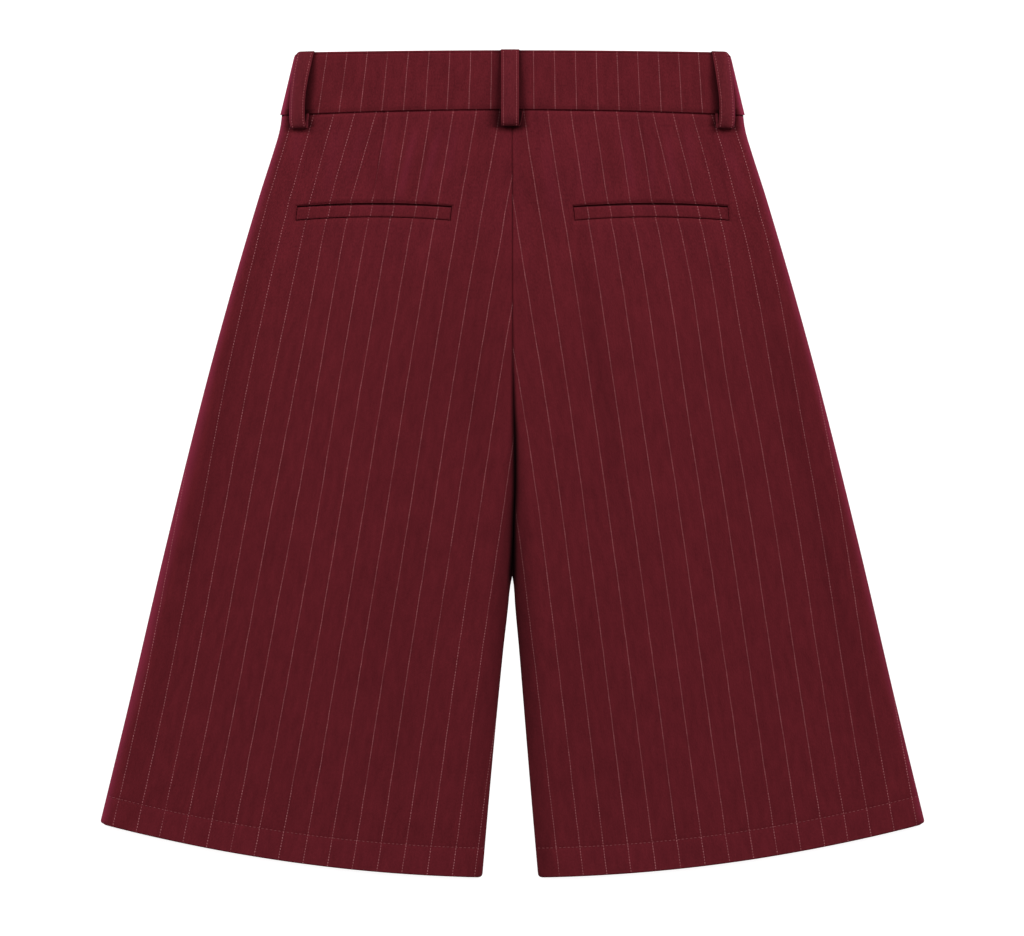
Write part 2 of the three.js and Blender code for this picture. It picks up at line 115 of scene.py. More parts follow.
# Soft folds of the back: side, start and end as x and down, height, spread, and the painted light on them.
FOLDS = [
    (-1, (76, 62), (88, 114), 0.35, 3.0, 0.15),
    (-1, (57, 62), (71, 115), 0.35, 3.0, 0.14),
    (-1, (66, 64), (80, 115), -0.25, 2.6, -0.09),
    (-1, (85, 64), (93, 112), -0.2, 3.0, -0.05),
    (-1, (97, 64), (98, 100), 0.3, 3.5, 0.08),
    (-1, (44, 60), (51, 98), 0.25, 3.5, 0.08),
    (-1, (117, 62), (129, 100), 0.2, 4, 0.06),
    (-1, (136, 58), (145, 112), 0.25, 5, 0.07),
    (-1, (167, 62), (170, 88), 0.25, 4, 0.08),
    (-1, (24, 56), (26, 100), -0.2, 7, -0.05),
    (-1, (24, 150), (30, 330), -0.8, 12, -0.09),
    (-1, (50, 160), (68, 310), -0.8, 16, -0.06),
    (-1, (200, 160), (258, 440), -0.7, 8, -0.12),
    (-1, (261, 440), (300, 600), -0.4, 8, -0.07),
    (-1, (134, 200), (150, 450), 0.5, 26, 0.03),
    (-1, (89, 380), (92, 600), -0.5, 22, -0.05),
    (1, (73, 62), (83, 110), -0.25, 4, -0.07),
    (1, (87, 62), (94, 110), 0.3, 3.0, 0.10),
    (1, (108, 70), (109, 108), 0.3, 2.6, 0.07),
    (1, (120, 62), (127, 110), 0.25, 3.5, 0.08),
    (1, (136, 60), (141, 95), 0.25, 4, 0.07),
    (1, (170, 76), (180, 115), 0.3, 4, 0.07),
    (1, (8, 62), (30, 200), -0.3, 4, -0.05),
    (1, (24, 68), (34, 128), 0.2, 5, 0.07),
    (1, (56, 74), (58, 112), 0.25, 7, 0.05),
    (1, (165, 64), (170, 96), 0.3, 5, 0.05),
    (1, (172, 122), (183, 162), -0.3, 3, -0.07),
    (1, (49, 140), (87, 370), -0.9, 8, -0.10),
    (1, (63, 150), (100, 370), 0.3, 6, 0.03),
    (1, (186, 140), (282, 560), -0.7, 9, -0.12),
    (1, (66, 420), (75, 600), -0.8, 28, -0.05),
    (1, (40, 440), (44, 620), -0.4, 9, -0.05),
    (1, (124, 250), (143, 450), 0.5, 22, 0.03),
]

LEFT, CENTRE, RIGHT = -1, 0, 1
SIDES = {LEFT: "left", RIGHT: "right"}
LOOPS = {CENTRE: "centre", **SIDES}


def lerp(start, end, share):
    return start + (end - start) * share


def smoothstep(value, low, high):
    share = min(1, max(0, (value - low) / (high - low)))
    return share * share * (3 - 2 * share)


def through(points):
    """A smooth curve through points, flat beyond its ends."""
    places = [p[0] for p in points]
    values = [p[1] for p in points]
    slopes = []
    for i in range(len(points)):
        low, high = max(0, i - 1), min(len(points) - 1, i + 1)
        slopes.append((values[high] - values[low]) / (places[high] - places[low]))

    def at(place):
        place = min(places[-1], max(places[0], place))
        i = max(0, sum(1 for p in places if p <= place) - 1)
        if i == len(places) - 1:
            return values[-1]
        span = places[i + 1] - places[i]
        t = (place - places[i]) / span
        return (
            values[i] * (1 + 2 * t) * (1 - t) ** 2
            + slopes[i] * span * t * (1 - t) ** 2
            + values[i + 1] * t * t * (3 - 2 * t)
            + slopes[i + 1] * span * t * t * (t - 1)
        )

    return at


side_half = through(SIDE_LINE)
centre_x = through(CENTRE_LINE)
back_inner = through(BACK_INNER_LINE)
front_inner = through(FRONT_INNER_LINE)
crease_width = through(CREASE_WIDTH)
crease_drop = through(CREASE_DROP)
side_loop = through(SIDE_LOOP_LINE)


def band_half(down):
    return lerp(WAIST_HALF - 11, WAIST_HALF, down / BAND_HEIGHT)


def waist_edge(x):
    return BAND_EDGE_DIP * (x / WAIST_HALF) ** 2


def waist_seam(x):
    return BAND_HEIGHT + BAND_SEAM_DIP * (x / WAIST_HALF) ** 2


def hem_line(x):
    return LENGTH - HEM_RISE * (x / HEM_HALF) ** 2


def corner_inset(x, down):
    """How far in the rounded corners of a hem pull its ends."""
    share = min(1, max(0, 1 - (hem_line(x) - down) / HEM_CORNER))
    return HEM_CORNER * (1 - math.sqrt(1 - share * share))


def front_lift(down):
    return FRONT_LIFT * (1 - smoothstep(down, 55, 115))


def back_foot(down):
    return front_lift(down) + FRONT_EDGE + FOOT_GAP


def side_roll(down):
    return lerp(4, 10, smoothstep(down, 60, 150))


def folds(x, down):
    """How high the soft folds stand at a place, and their painted light and shade."""
    height, paler = 0, 0
    for side, (top_x, top_down), (low_x, low_down), rise, spread, tone in FOLDS:
        along = (down - top_down) / (low_down - top_down)
        if side * x < 0 or not -0.1 < along < 1.15:
            continue
        across = (x - side * lerp(top_x, low_x, along)) / spread
        if abs(across) < 3:
            shape = math.exp(-across * across) * smoothstep(along, -0.1, 0.25)
            shape *= 1 - smoothstep(along, 0.75, 1.15)
            height += rise * shape
            # Painted light on the fold where the last column is above 0, painted shade where it is below.
            paler += tone * shape
    return height, paler


def ripples(x, down):
    """Slight unevenness of the suiting after pressing, longer down the leg than across it."""
    low = noise.noise(Vector((x / 38, down / 150, 1.7)))
    fine = noise.noise(Vector((x / 17, down / 90, 5.2)))
    flutes = noise.noise(Vector((x / 24, down / 400, 9.1))) * smoothstep(down, 420, 640)
    seat = 1 + 0.9 * (1 - smoothstep(down, 110, 240))
    return (0.5 * low + 0.16 * fine + 0.45 * flutes) * seat * smoothstep(down, 44, 75)


def back_top(x, down):
    return BACK_TOP + 0.3 * (1 - smoothstep(down, 60, 120)) + folds(x, down)[0] + ripples(x, down)


STRIPE_PITCH = 19.0
BAND_PITCH = 16.35
BACK_SHIFT = 10
FRONT_SHIFT = 20

# Where the stripes of the back panels run: down, then the number of the stripe that lies STRIPES_FROM out
# from the centre, how many more lie in the next STRIPES_OVER, and how much they draw together outwards.
STRIPES_FROM = 25
STRIPES_OVER = 200
STRIPES = {
    -1: [
        (48, 3.82, 10.97, 1.14),
        (85, 3.48, 10.99, 1.02),
        (121, 3.11, 11.09, 0.90),
        (145, 2.89, 11.02, 0.76),
        (190, 2.45, 11.08, 0.44),
        (260, 1.80, 11.13, 0.13),
        (360, 0.96, 10.99, 0.06),
        (480, -0.01, 10.70, 0.10),
        (600, -0.82, 10.23, 0.11),
        (645, -1.12, 10.05, 0.11),
    ],
    1: [
        (48, 3.87, 10.85, 1.19),
        (85, 3.58, 10.69, 1.19),
        (121, 3.26, 10.74, 1.19),
        (145, 3.05, 10.55, 1.11),
        (190, 2.67, 10.54, 0.83),
        (260, 2.09, 10.70, 0.48),
        (360, 1.35, 10.56, 0.34),
        (480, 0.55, 10.33, 0.34),
        (600, -0.17, 10.12, 0.25),
        (645, -0.44, 10.04, 0.22),
    ],
}
# Where stripes lie further in: side, middle as x and down, spread across and along, and how many stripes.
DRAWN_IN = [(-1, 165, 235, 24, 190, 0.12), (1, 175, 215, 12, 70, 0.09), (1, 140, 190, 16, 60, -0.05)]
# The stripes that each dart takes up at the waist, and how they fan out beyond it.
DART_TAKES = {-1: (0.546, 0.086), 1: (0.30, 0.572)}
DART_FOOT = 119
DART_NARROW = 0.7


def stripe_curve(side, column):
    return through([(row[0], row[column]) for row in STRIPES[side]])


STRIPE_CURVES = {side: [stripe_curve(side, column) for column in (1, 2, 3)] for side in STRIPES}


def stripe_number(side, x, down):
    """Which stripe of a side's panels passes a place, counted outwards from the centre back seam."""
    out = (side * x - STRIPES_FROM) / STRIPES_OVER
    first, more, closing = [curve(down) for curve in STRIPE_CURVES[side]]
    number = first + more * out + closing * out * out
    beyond = (abs(x) - dart_x(down)) / 100
    if down < DART_FOOT:
        taken, fanned = DART_TAKES[side]
        gone = taken + fanned * beyond if beyond > 0 else 0.1 * max(0, 1 + beyond / 0.15)
        number += gone * (DART_FOOT - down) / (DART_FOOT - BAND_HEIGHT)
    from_inner = abs(x) - back_inner(down)
    if side == RIGHT:
        number -= 0.205 * smoothstep(down, 200, 400) * max(0, 1 - from_inner / 60)
    else:
        number -= 0.18 * smoothstep(down, 480, 600) * max(0, 1 - from_inner / 22)
    for drawn_side, middle, level, wide, tall, amount in DRAWN_IN:
        if side == drawn_side:
            off, lower = (abs(x) - middle) / wide, (down - level) / tall
            number += amount * math.exp(-(off**2) - lower**2)
    return number


def panel_weave(side, x, down, shift):
    """The place of the weave on a leg panel, shifted by some stripes to keep it unlike the others."""
    return (stripe_number(side, x, down) + shift * side) * STRIPE_PITCH, down


def place(x, down, z):
    return Vector((x * MM, (MIDDLE - down) * MM, z * MM))


def welt_top(x):
    across = min(1, abs(abs(x) - WELT_X) / (WELT_WIDTH / 2))
    return WELT_DOWN - WELT_ARCH * (1 - across * across)


def welt_end(down, end):
    """How far out a column of the panel runs that follows one end of the welt."""
    level = min(WELT_DOWN + WELT_HEIGHT + 2, max(WELT_DOWN - 2, down))
    at_welt = WELT_X + end * (WELT_WIDTH / 2 + SEAM_GAP) + WELT_LEAN * (level - WELT_DOWN)
    above = max(0, WELT_DOWN - 2.5 - down) / 70
    return at_welt * side_half(down) / side_half(level) + 2.1 * above


def dart_x(down):
    return lerp(welt_end(down, -1), welt_end(down, 1), DART_SHARE)


def rolled(width, drop, share, depth):
    """How far in and down a rounded edge is, at a share of its quarter turn and a depth in the cloth."""
    angle = share * math.pi / 2
    turn = min(1, drop / (1.8 * depth)) * math.pi / 2 if depth else 0
    bite = depth * math.sin(turn)
    inset = bite + (width - bite) * (1 - math.sin(angle))
    sink = depth + (drop - depth * (1 - math.cos(turn))) * (1 - math.cos(angle))
    return inset, sink


# A column of a leg panel: the zone it crosses, its share of that zone, and its shift outwards.
Column = namedtuple("Column", "zone share shift")
# A row of a leg panel: its line across the leg, its outer and inner face as a shift along the leg and a
# depth, and how far it is sunk.
Row = namedtuple("Row", "line outer inner sink")


def zone(name, count, shift=0.0, start=0, end=None):
    stop = count if end is None else end
    return [Column(name, i / count, shift) for i in range(start, stop + 1)]


def body_row(line, sink=0.0):
    return Row(line, (0, 0), (0, CLOTH), sink)


def hem_rows(hem, turn_steps=5):
    """The hem: down to the fold, round it, and back up inside."""
    radius = (2 * CLOTH + 0.3) / 2
    sewn = ((2.4, 0), (1, 0.1), (0, 0.28), (-1, 0.1))
    rows = [body_row(lambda x, back=HEM_DEPTH + up: hem(x) - back, sink) for up, sink in sewn]
    backs = (HEM_DEPTH - 2.4, 16, 12, 8, 4, 2.4, 1.4)
    rows += [body_row(lambda x, back=back: hem(x) - back) for back in backs]
    for step in range(turn_steps + 1):
        angle = math.pi * step / turn_steps
        outer = (radius * (math.sin(angle) - 1), radius * (1 - math.cos(angle)))
        inner = ((radius - CLOTH) * math.sin(angle) - radius, radius - (radius - CLOTH) * math.cos(angle))
        rows.append(Row(hem, outer, inner, 0))
    for back in (4, 10, 16, HEM_DEPTH):
        rows.append(Row(hem, (-back, 2 * radius), (-back, 2 * radius - CLOTH), 0))
    return rows


def between(upper, lower, shares):
    return [body_row(lambda x, share=share: lerp(upper(x), lower(x), share)) for share in shares]


def back_rows():
    def seam(x):
        return waist_seam(x) + SEAM_GAP

    def opening(x):
        return welt_top(x) + WELT_HEIGHT + SEAM_GAP

    edge = (
        (-3.4, 1.4), (-0.6, 1.4), (0.3, 1.4), (0.7, 1.15),
        (1.2, 0.75), (1.9, 0.38), (2.8, 0.1), (3.8, 0),
    )
    rows = [body_row(lambda x, on=on: seam(x) + on, sink) for on, sink in edge]
    rows += between(lambda x: seam(x) + 3.8, lambda x: welt_top(x) - 4, [i / 36 for i in range(1, 37)])
    rows += [body_row(lambda x, up=up: welt_top(x) - up) for up in (2.8, 1.8, 1.0, 0.5, 0.2, 0)]
    rows += between(welt_top, opening, (0.33, 0.67, 1))
    rows += [body_row(lambda x, on=on: opening(x) + on) for on in (0.3, 0.7, 1.4)]
    count = 132
    rows += between(
        lambda x: opening(x) + 1.4,
        lambda x: hem_line(x) - HEM_DEPTH - 2.4,
        [i / count for i in range(1, count)],
    )
    return rows + hem_rows(hem_line)


BACK_COLUMNS = (
    zone("side roll", 7)[::-1]
    + zone("side flat", 18)[::-1][1:-1]
    + [Column("side flat", 0, shift) for shift in (1.4, 0.7, 0.3)]
    + zone("welt", 60)[::-1][:29]
    + [Column("welt", DART_SHARE, shift) for shift in (1.8, 1.1, 0.6, 0.25, 0, -0.25, -0.6, -1.1, -1.8)]
    + zone("welt", 60)[::-1][31:]
    + [Column("inner flat", 1, shift) for shift in (-0.3, -0.7, -1.4)]
    + zone("inner flat", 24)[::-1][1:]
    + zone("inner roll", 7)[1:]
)


def back_point(side, column, down, depth):
    """Where a column of a back panel is, as x and as the drop of the rounded edges."""
    outer = side_half(down)
    inner = back_inner(down) + side * centre_x(down)
    roll, crease = side_roll(down), crease_width(down)
    outer, inner = outer - corner_inset(outer, down), inner + corner_inset(inner, down)
    if column.zone == "side roll":
        drop = back_top(side * outer, down) - back_foot(down)
        inset, sink = rolled(roll, drop, column.share, depth)
        return side * (outer - inset), sink
    if column.zone == "inner roll":
        drop = min(crease_drop(down), back_top(side * inner, down) - back_foot(down))
        inset, sink = rolled(crease, drop, column.share, depth)
        return side * (inner + inset), sink
    stops = {
        "side flat": (welt_end(down, 1), outer - roll),
        "welt": (welt_end(down, -1), welt_end(down, 1)),
        "inner flat": (inner + crease, welt_end(down, -1)),
    }
    return side * (lerp(*stops[column.zone], column.share) + column.shift), depth


SETTLE_FROM = 100
SETTLE_STEPS = 4


def settle(line, shift, x_of):
    """The place along the leg where a row's line crosses a column."""
    down = line(SETTLE_FROM) + shift
    for _ in range(SETTLE_STEPS):
        down = line(x_of(down)) + shift
    return down


def from_opening(x, down):
    """How far a place of the panel is from its pocket opening, and how far it is above the opening."""
    above = welt_top(x) - down
    aside = abs(abs(x) - WELT_X - WELT_LEAN * (down - WELT_DOWN)) - WELT_WIDTH / 2 - SEAM_GAP
    return max(aside, above, -above - WELT_HEIGHT - SEAM_GAP), above


def seams_sink(x, down):
    """How far the back's face dips beside its pocket opening and along its dart."""
    away, above = from_opening(x, down)
    middle = max(0, 1 - ((abs(x) - WELT_X) / (WELT_WIDTH / 2)) ** 2)
    depth, reach = (0.9, lerp(1.2, 3.8, middle)) if away == above else (0.7, 2.2)
    sink = depth * (1 - smoothstep(away, 0, reach)) ** 1.6
    if down < WELT_DOWN:
        off = (abs(x) - dart_x(down)) / DART_NARROW
        sink += (0.8 if x < 0 else 0.35) * math.exp(-off * off) * (1 - smoothstep(down, 104, 118))
    return sink


def loop_middle(loop, below):
    if loop == CENTRE:
        return -1.95
    straighter = 0.6 * math.cos(math.pi * min(1, max(0, below) / 32)) if loop == RIGHT else 0
    return loop * side_loop(below) + straighter


def beside_loops(x, down):
    """How much of its colour the cloth keeps beside and below a belt loop, out of the light."""
    kept = 1
    for loop in LOOPS:
        off = x - loop_middle(loop, down)
        beyond = abs(off) - 6.6
        below = max(0, down - LOOP_LENGTH + 0.5)
        if loop == CENTRE:
            deepest, reach = 0.5, 15 if off < 0 else 10
        else:
            deepest, reach = (0.3, 8.5) if off * loop < 0 else (0.9, 3)
        if below:
            deepest, reach = 0.4, 5.5
        elif down > BAND_HEIGHT:
            deepest *= 0.4
        reach *= lerp(0.8 if loop == CENTRE else 0.4, 1, smoothstep(down, 2, 28))
        here = lerp(deepest, 1, smoothstep(math.hypot(max(0, beyond), below), 0, reach))
        if not below:
            here *= lerp(0.2, 1, smoothstep(beyond, -2.5, 0.5))
        kept = min(kept, here)
    return kept


def edge_light(from_edge, strength=0.9, reach=6.5):
    """How much paler than its colour the cloth looks where it turns away at the side."""
    return strength * max(0, 1 - from_edge / reach) ** 2


def crease_shade(side, from_edge, down):
    """Painted shade beside the crease and the inner leg edge: how much of its colour the cloth keeps there.
    """
    low = smoothstep(down, 430, 600)
    deepest = lerp(0.42, 0.7, low) if side == RIGHT else lerp(0.62, 0.88, low)
    deepest = lerp(lerp(1, 0.55, smoothstep(down, 230, 320)), deepest, smoothstep(down, 370, 430))
    broad = lerp(deepest, 1, smoothstep(from_edge, 0, lerp(3, 22, smoothstep(down, 260, 425))))
    closed = smoothstep(down, 180, 310)
    black = closed * (1 - 0.8 * smoothstep(down, 405, 430)) * (1 - smoothstep(down, 450, 560))
    narrow = lerp(1 - black, 1, smoothstep(from_edge, 0, lerp(1.5, 3.8, closed)))
    return broad * narrow


def back_shade(side, x, down):
    """Painted light and shade of the back: below 1 shade in hollows, above 1 highlight on the sides' pale
    rims.
    """
    from_centre = side * (x - centre_x(down)) - back_inner(down)
    # Painted shade around the pocket opening.
    pocket = lerp(0.88, 1, smoothstep(from_opening(x, down)[0], 0, 2))
    hem = smoothstep(down - hem_line(x) + HEM_DEPTH, -1, 1)
    # Painted light: paler at the seat and darker down the legs as the light falls off, paler again over the
    # hem.
    light_falloff_and_hem = lerp(1.02, 0.952, smoothstep(down, 130, 300)) + 0.015 * smoothstep(down, 430, 620)
    light_falloff_and_hem += 0.05 * hem
    kept = (light_falloff_and_hem + folds(x, down)[1]) * crease_shade(side, from_centre, down)
    kept = kept * pocket * beside_loops(x, down)
    middle = smoothstep(down, 200, 340) * (1 - 0.8 * smoothstep(down, 460, 560))
    if side == RIGHT:
        strength, reach = lerp(0.85, 0.6, smoothstep(down, 300, 450)), 7 + 1.5 * middle
    else:
        strength, reach = 0.85, 7 + 6.5 * middle
    return kept + edge_light(side_half(down) - abs(x), strength, reach)


def back_face(side, row, column, outside):
    shift, depth = row.outer if outside else row.inner
    down = settle(row.line, shift, lambda d: back_point(side, column, d, depth)[0])
    x, drop = back_point(side, column, down, depth)
    z = back_top(x, down) - drop - row.sink - seams_sink(x, down)
    if "roll" in column.zone:
        z = max(z, back_foot(down) + (0 if outside else 0.05))
    return x, down, z


def front_rows():
    count = 90
    rows = [body_row(lambda x, on=on: waist_seam(x) + SEAM_GAP + on) for on in (0, 1.2)]
    rows += between(
        lambda x: waist_seam(x) + SEAM_GAP + 1.2,
        lambda x: hem_line(x) - HEM_DEPTH - 2.4,
        [i / count for i in range(1, count)],
    )
    return rows + hem_rows(hem_line)


FRONT_COLUMNS = zone("side roll", 5)[::-1] + zone("flat", 44)[::-1][1:-1] + zone("inner roll", 5)
FRONT_ROLL = 2.6


def front_point(side, column, down, depth):
    outer = side_half(down)
    inner = front_inner(down) + side * centre_x(down)
    outer, inner = outer - corner_inset(outer, down), inner + corner_inset(inner, down)
    drop = FRONT_EDGE if column.zone == "side roll" or down > CROTCH else 0.8
    if column.zone == "flat":
        return side * lerp(inner + FRONT_ROLL, outer - FRONT_ROLL, column.share), depth
    inset, sink = rolled(FRONT_ROLL, drop, column.share, depth)
    return side * (outer - inset if column.zone == "side roll" else inner + inset), sink


def front_face(side, row, column, outside):
    shift, depth = row.outer if outside else row.inner
    down = settle(row.line, shift, lambda d: front_point(side, column, d, depth)[0])
    x, rise = front_point(side, column, down, depth)
    ceiling = FRONT_EDGE + (0 if outside else -0.05)
    dimple = 0.25 * row.sink
    return x, down, front_lift(down) + min(rise + dimple, ceiling)


# Blender helpers


def new_primitive(add, name, **settings):
    """Adds a primitive with nothing else selected, and names it."""
    for thing in bpy.context.selected_objects:
        thing.select_set(False)
    add(**settings)
    piece = bpy.context.active_object
    piece.name = name
    piece.data.name = name
    return piece


def apply_modifier(piece, kind, **settings):
    modifier = piece.modifiers.new(kind.title(), kind)
    for key, value in settings.items():
        setattr(modifier, key, value)
    bpy.context.view_layer.objects.active = piece
    bpy.ops.object.modifier_apply(modifier=modifier.name)


def smooth(piece, degrees=40):
    for thing in bpy.context.selected_objects:
        thing.select_set(False)
    piece.select_set(True)
    bpy.context.view_layer.objects.active = piece
    bpy.ops.object.shade_smooth_by_angle(angle=math.radians(degrees))


def finish_piece(piece, material, *nodes):
    """Gives a finished piece its material, its body and the solids it stands for."""
    piece.data.materials.clear()
    piece.data.materials.append(material)
    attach(piece, BODY)
    if nodes:
        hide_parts(*nodes)
    return piece


def sheet_grid(name, across, along, position, pattern, depth_of=None):
    """A grid of cloth: position lays it out, pattern maps its weave, the third gives painted light and
    shade.
    """
    piece = new_primitive(
        bpy.ops.mesh.primitive_grid_add, name, x_subdivisions=across, y_subdivisions=along, size=1
    )
    mesh = bmesh.new()
    mesh.from_mesh(piece.data)
    column_of = mesh.verts.layers.int.new("column")
    row_of = mesh.verts.layers.int.new("row")
    # The depth layer holds painted light and shade: below 1 painted shade, above 1 painted highlight.
    depth = mesh.verts.layers.float.new("depth")
    weave = mesh.loops.layers.uv.verify()
    maps = {}
    for vert in mesh.verts:
        column = round((vert.co.x + 0.5) * across)
        row = round((0.5 - vert.co.y) * along)
        vert[column_of] = column
        vert[row_of] = row
        x, down, z = position(column, row)
        vert.co = place(x, down, z)
        vert[depth] = depth_of(column, row, x, down) if depth_of else 1
        maps[vert] = Vector(pattern(column, row, x, down)) * MM
    for face in mesh.faces:
        for loop in face.loops:
            loop[weave].uv = maps[loop.vert]
    return piece, mesh


def keep_mesh(piece, mesh, upward):
    """Writes the edited mesh back with its middle facing up or down."""
    mesh.normal_update()
    total = sum((face.normal.z * face.calc_area() for face in mesh.faces), 0.0)
    if (total > 0) != upward:
        bmesh.ops.reverse_faces(mesh, faces=mesh.faces[:])
    mesh.to_mesh(piece.data)
    mesh.free()


def thicken(piece, thickness, inner_position=None, inner_depth=None):
    """Gives cloth its thickness on the inside; lays its inner face, with painted shade, by column and row.
    """
    outer = [vert.co.copy() for vert in piece.data.vertices]
    apply_modifier(piece, "SOLIDIFY", thickness=thickness * MM, offset=-1, use_even_offset=True)
    vertices = piece.data.vertices
    count = len(outer)
    columns = piece.data.attributes["column"].data
    rows = piece.data.attributes["row"].data
    painted_shade_layer = piece.data.attributes["depth"].data
    first_moved = sum((vertices[i].co - outer[i]).length for i in range(0, count, 97))
    start = 0 if first_moved > 1e-4 else count
    for i in range(start, start + count):
        column, row = columns[i].value, rows[i].value
        # Painted shade on the inner face, 0.3 unless given.
        painted_shade_layer[i].value = inner_depth(column, row) if inner_depth else 0.3
        if inner_position:
            vertices[i].co = place(*inner_position(column, row))


class Wire:
    """An output of a shader's node, so that the pattern of the cloth is written as sums."""

    def __init__(self, shader, socket):
        self.shader = shader
        self.socket = socket

    def math(self, operation, *others):
        return self.shader.node("ShaderNodeMath", {"operation": operation}, (self, *others))

    def __add__(self, other):
        return self.math("ADD", other)

    def __sub__(self, other):
        return self.math("SUBTRACT", other)

    def __rsub__(self, other):
        return self.shader.node("ShaderNodeMath", {"operation": "SUBTRACT"}, (other, self))

    def __mul__(self, other):
        return self.math("MULTIPLY", other)

    __radd__ = __add__
    __rmul__ = __mul__

    def between(self, low, high):
        """0 below low and 1 above high, and the other way round where low is the larger."""
        settings = {"interpolation_type": "SMOOTHSTEP"}
        sockets = {"Value": self, "From Min": low, "From Max": high}
        return self.shader.node("ShaderNodeMapRange", settings, sockets)


class Shader:
    """A material's nodes."""

    def __init__(self, name):
        self.material = bpy.data.materials.new(name)
        self.material.use_nodes = True
        self.tree = self.material.node_tree
        self.tree.nodes.clear()

    def node(self, kind, settings=None, inputs=(), output=0):
        """A node of a kind, its settings made first, then its sockets given values or wires."""
        made = self.tree.nodes.new(kind)
        for key, value in (settings or {}).items():
            setattr(made, key, value)
        for key, value in inputs.items() if isinstance(inputs, dict) else enumerate(inputs):
            if isinstance(value, Wire):
                self.tree.links.new(value.socket, made.inputs[key])
            else:
                made.inputs[key].default_value = value
        return Wire(self, made.outputs[output])

    def mix(self, share, low, high):
        return self.node("ShaderNodeMix", {"data_type": "RGBA"}, {0: share, 6: low, 7: high}, output=2)

    def vector(self, x, y, z=0.0):
        return self.node("ShaderNodeCombineXYZ", None, (x, y, z))

    def grain(self, vector, scale, detail=2.0):
        return self.node("ShaderNodeTexNoise", None, {"Vector": vector, "Scale": scale, "Detail": detail})

    def surface(self, sockets):
        """Ends the nodes in a principled surface whose sockets are given by name."""
        shade = self.node("ShaderNodeBsdfPrincipled", None, sockets)
        end = self.tree.nodes.new("ShaderNodeOutputMaterial")
        self.tree.links.new(shade.socket, end.inputs["Surface"])
        return self.material


def suiting(settings, name, colour_of_cloth, stripes=True):
    """Burgundy twill: broken warp streaks, a beaded pale stripe, and a diagonal rib."""
    shader = Shader(name)
    weave = shader.node("ShaderNodeUVMap", {"uv_map": "UVMap"})
    across = shader.node("ShaderNodeSeparateXYZ", None, {"Vector": weave})
    along = Wire(shader, across.socket.node.outputs["Y"])
    red, green, blue = colour_of_cloth
    dark = (red * 0.72, green * 0.72, blue * 0.72, 1)
    light = (red * 1.28, green * 1.28, blue * 1.28, 1)
    streaks = shader.grain(shader.vector(across * 220, along * 60), 1.0, 3.0)
    clouds = shader.grain(shader.vector(across * 45, along * 22), 1.0, 3.0)
    flecks = shader.grain(shader.vector(across * 900, along * 500), 1.0, 2.0)
    rib = ((across + along * 0.8) * (1 / settings.twill)).math("FRACT")
    ridge = (rib - 0.5).math("ABSOLUTE") * 2
    # Mottling grows stronger near the waist, as painted light and shade of the seat's crumples.
    crumple_shading = along.between(0.24, 0.1) * 0.9 + 0.9
    mottle = ((clouds - 0.5) * 0.5 + (flecks - 0.5)) * crumple_shading
    tone = (streaks - 0.5) * 0.9 + mottle + (ridge - 0.5) * 0.2 + 0.5
    colour = shader.mix(tone, dark, light)
    if stripes:
        wobble = (shader.grain(shader.vector(across * 30, along * 55), 1.0, 1.0) - 0.5) * 0.0007
        number = (across + wobble) * (1 / (STRIPE_PITCH * MM)) + 0.5
        distance = (number.math("FRACT") - 0.5).math("ABSOLUTE") * (STRIPE_PITCH * MM)
        half = settings.stripe_width / 2
        line = distance.between(half * 1.35, half * 0.65)
        bead = along * (1 / settings.bead)
        shape = ((bead.math("FRACT") - 0.5).math("ABSOLUTE")).between(0.31, 0.16)
        chance = shader.node(
            "ShaderNodeTexWhiteNoise",
            {"noise_dimensions": "2D"},
            {"Vector": shader.vector(bead.math("FLOOR"), number.math("FLOOR"))},
        )
        fading = shader.grain(shader.vector(number.math("FLOOR") * 7.3, along * 40), 1.0, 1.0)
        strength = shape * (chance * 0.6 + 0.4) * (fading.between(0.1, 0.5) * 0.8 + 0.2)
        colour = shader.mix(line * strength, colour, (*settings.stripe_colour, 1))
    # Painted light and shade from the depth attribute: below 1 shade to near black, above 1 pale pink
    # highlight.
    shade = shader.node("ShaderNodeAttribute", {"attribute_name": "depth"}, (), output=2)
    colour = shader.mix(shade, (red * 0.005, green * 0.005, blue * 0.005, 1), colour)
    colour = shader.mix(shade - 1, colour, (red * 2.4, green * 2.4, blue * 3.8, 1))
    height = ridge * 0.00004 + flecks * 0.00012 + streaks * 0.00004 + clouds * 0.0002
    bump = shader.node("ShaderNodeBump", None, {"Strength": 1.0, "Distance": 1.0, "Height": height})
    return shader.surface({
        "Base Color": colour,
        "Roughness": 0.85,
        "Normal": bump,
        "Specular IOR Level": 0.12,
        "Specular Tint": (1.0, 0.35, 0.4, 1.0),
        "Sheen Weight": settings.sheen,
        "Sheen Roughness": 0.3,
        "Sheen Tint": (1.0, 0.3, 0.38, 1.0),
    })


def thread(name, colour):
    """Twisted polyester thread."""
    shader = Shader(name)
    place_on = shader.node("ShaderNodeTexCoord", None, (), output="Object")
    twist = shader.grain(place_on, 2600, 1.0)
    low = (*[channel * 0.75 for channel in colour], 1)
    sockets = {"Strength": 0.5, "Distance": 1.0, "Height": twist * 0.00008}
    bump = shader.node("ShaderNodeBump", None, sockets)
    return shader.surface({
        "Base Color": shader.mix(twist.between(0.3, 0.7), low, (*colour, 1)),
        "Roughness": 0.6,
        "Normal": bump,
        "Specular IOR Level": 0.3,
    })


def colour(name, description, default):
    return bpy.props.FloatVectorProperty(
        name=name, description=description, default=default, subtype="COLOR", min=0, max=1
    )


def length(name, description, default, least=0.0):
    return bpy.props.FloatProperty(
        name=name, description=description, default=default, unit="LENGTH", min=least
    )


